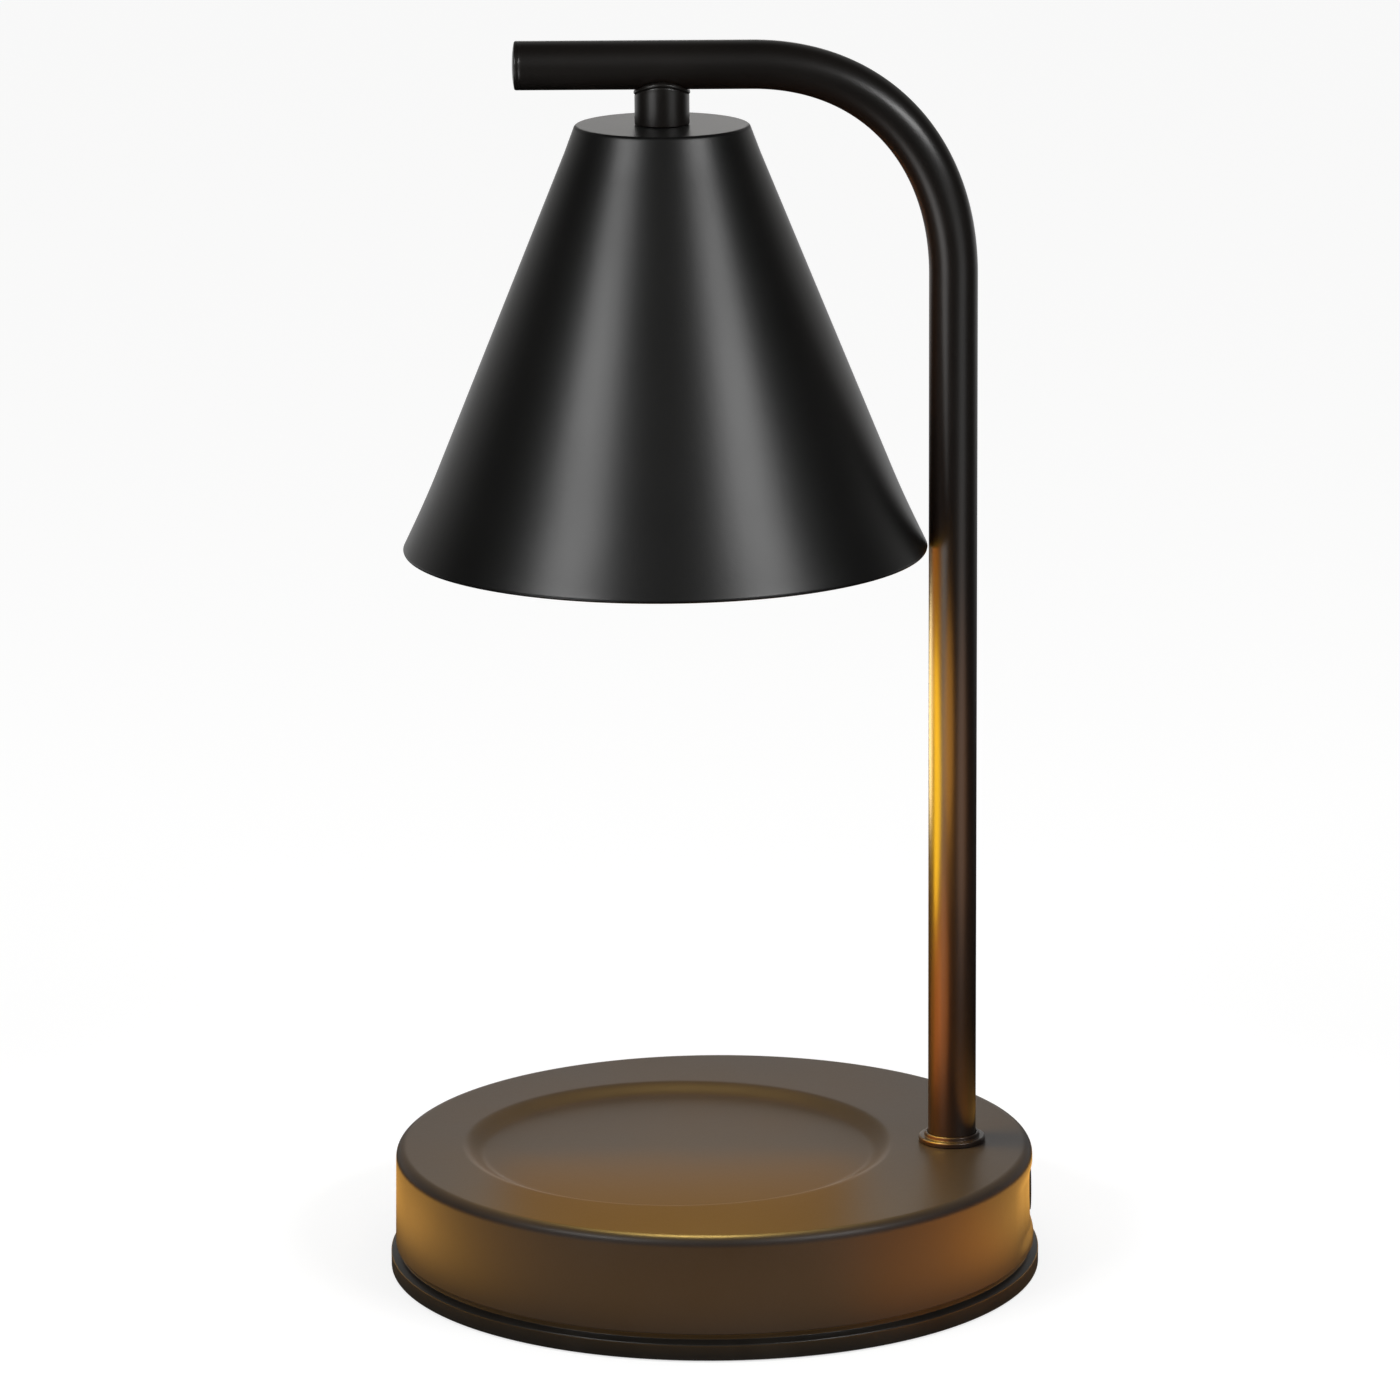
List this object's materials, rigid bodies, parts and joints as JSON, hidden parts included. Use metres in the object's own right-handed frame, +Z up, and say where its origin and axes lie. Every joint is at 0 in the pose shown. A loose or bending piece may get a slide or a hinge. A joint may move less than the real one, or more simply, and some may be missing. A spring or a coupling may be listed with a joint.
{
  "type": "candle warmer lamp",
  "caption": "Candle warmer lamp: weighted round base with a candle seat, bent tube arm and a conical metal shade over a twist-lock reflector bulb.",
  "frame": {"origin": "centre of the round base on the surface that the lamp stands on, between the non-slip pads", "axes": "+Z up; +X towards the back, where the pole and the lead inlet are; the arm reaches along -X and the shade hangs over the candle seat"},
  "size_m": [0.15, 0.15, 0.2843],
  "materials": {
    "base_paint": "satin dark bronze",
    "tube_paint": "satin black",
    "shade_paint": "fine matt black",
    "cover_plastic": "moulded black",
    "rubber": "matt black",
    "weight_iron": "as cast",
    "zinc_steel": "zinc plated",
    "contact_brass": "bright",
    "holder_ceramic": "unglazed",
    "bulb_ceramic": "unglazed",
    "reflector_mirror": "mirror coated glass",
    "bulb_glass": "lightly stippled",
    "capsule_glow": "lit",
    "pin_metal": "nickel plated",
    "wire_live_insulation": "silicone",
    "wire_neutral_insulation": "silicone",
    "splice_nylon": "natural nylon"
  },
  "bodies": {
    "lamp": {"base_shell": "base_paint", "lead_inlet_bush": "rubber", "base_bottom_cover": "cover_plastic", "pad_back_right": "rubber", "pad_front_right": "rubber", "pad_front_left": "rubber", "pad_back_left": "rubber", "base_weight": "weight_iron", "cover_screw_1": "zinc_steel", "cover_screw_2": "zinc_steel", "cover_screw_3": "zinc_steel", "pole_arm_tube": "tube_paint", "arm_end_cap": "tube_paint", "pole_collar": "tube_paint", "pole_stem": "zinc_steel", "pole_washer": "zinc_steel", "pole_nut": "zinc_steel", "shade_neck": "tube_paint", "shade": "shade_paint", "shade_stem": "zinc_steel", "shade_washer": "zinc_steel", "shade_nut": "zinc_steel", "socket_bracket": "zinc_steel", "socket_body": "holder_ceramic", "socket_cover": "holder_ceramic", "socket_screw_1": "zinc_steel", "socket_screw_2": "zinc_steel", "socket_contact_1": "contact_brass", "socket_contact_2": "contact_brass", "lamp_wire_live": "wire_live_insulation", "lamp_wire_neutral": "wire_neutral_insulation", "splice_cap_live": "splice_nylon", "splice_cap_neutral": "splice_nylon"},
    "bulb": {"bulb_base": "bulb_ceramic", "bulb_reflector": "reflector_mirror", "bulb_front_glass": "bulb_glass", "bulb_capsule": "capsule_glow", "bulb_pin_1": "pin_metal", "bulb_pin_2": "pin_metal"}
  },
  "joints": [
    {"name": "bulb_twist", "type": "hinge", "parent": "lamp", "child": "bulb", "pos_m": [-0.0102, 0, 0.21], "axis": [0, 0, -1], "range_deg": [0, 35]}
  ]
}
